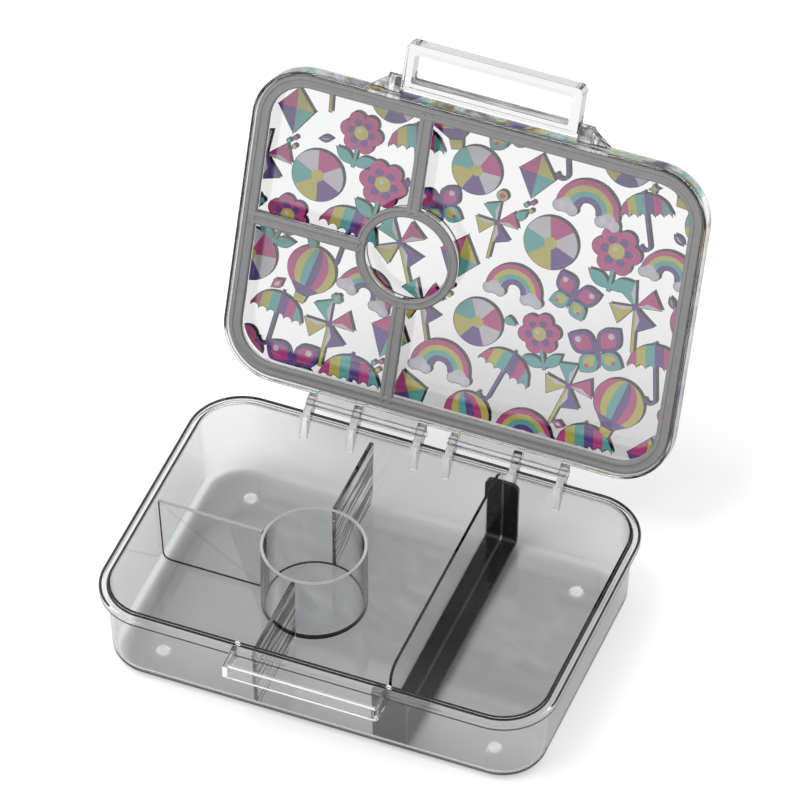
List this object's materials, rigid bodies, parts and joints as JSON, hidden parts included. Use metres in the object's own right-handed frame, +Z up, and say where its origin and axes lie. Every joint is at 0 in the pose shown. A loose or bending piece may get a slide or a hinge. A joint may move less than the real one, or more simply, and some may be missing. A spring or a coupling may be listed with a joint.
{
  "type": "bento lunch box",
  "caption": "Clear rectangular lunch box with a hinged, gasketed lid, a frame handle that latches it, a round dip cup, fixed partitions and a sliding divider.",
  "frame": {"origin": "at the middle of the tray's flat underside; the ground is 1 mm below it, under the four feet", "axes": "+X to the right along the tray's width, +Y back towards the hinge, +Z up; the lid is drawn open on its stop"},
  "size_m": [0.235, 0.2611, 0.2298],
  "materials": {
    "tray_clear": "clear, glossy",
    "lid_clear": "clear, glossy",
    "insert_clear": "clear, glossy",
    "handle_clear": "clear, glossy",
    "foot_black": "glossy black",
    "gasket_grey": "matte grey silicone",
    "film_print": "printed film",
    "pin_steel": "plain steel"
  },
  "bodies": {
    "tray": {"base_tray": "tray_clear", "dip_cup": "insert_clear", "left_partition": "insert_clear", "back_partition": "insert_clear", "front_partition": "insert_clear", "hinge_pin_left": "pin_steel", "hinge_pin_right": "pin_steel"},
    "lid": {"lid_shell": "lid_clear", "lid_gasket": "gasket_grey", "lid_film": "film_print"},
    "handle": {"latch_handle": "handle_clear"},
    "divider": {"divider_panel": "insert_clear", "divider_foot": "foot_black"}
  },
  "joints": [
    {"name": "lid_hinge", "type": "hinge", "parent": "tray", "child": "lid", "pos_m": [0, 0.0875, 0.045], "axis": [1, 0, 0], "range_deg": [0, 111]},
    {"name": "handle_pivot", "type": "hinge", "parent": "lid", "child": "handle", "pos_m": [0, 0.15721, 0.20623], "axis": [1, 0, 0], "range_deg": [-80, 90]},
    {"name": "divider_slide", "type": "slide", "parent": "tray", "child": "divider", "axis": [1, 0, 0], "range_m": [-0.0335, 0.0385]}
  ]
}
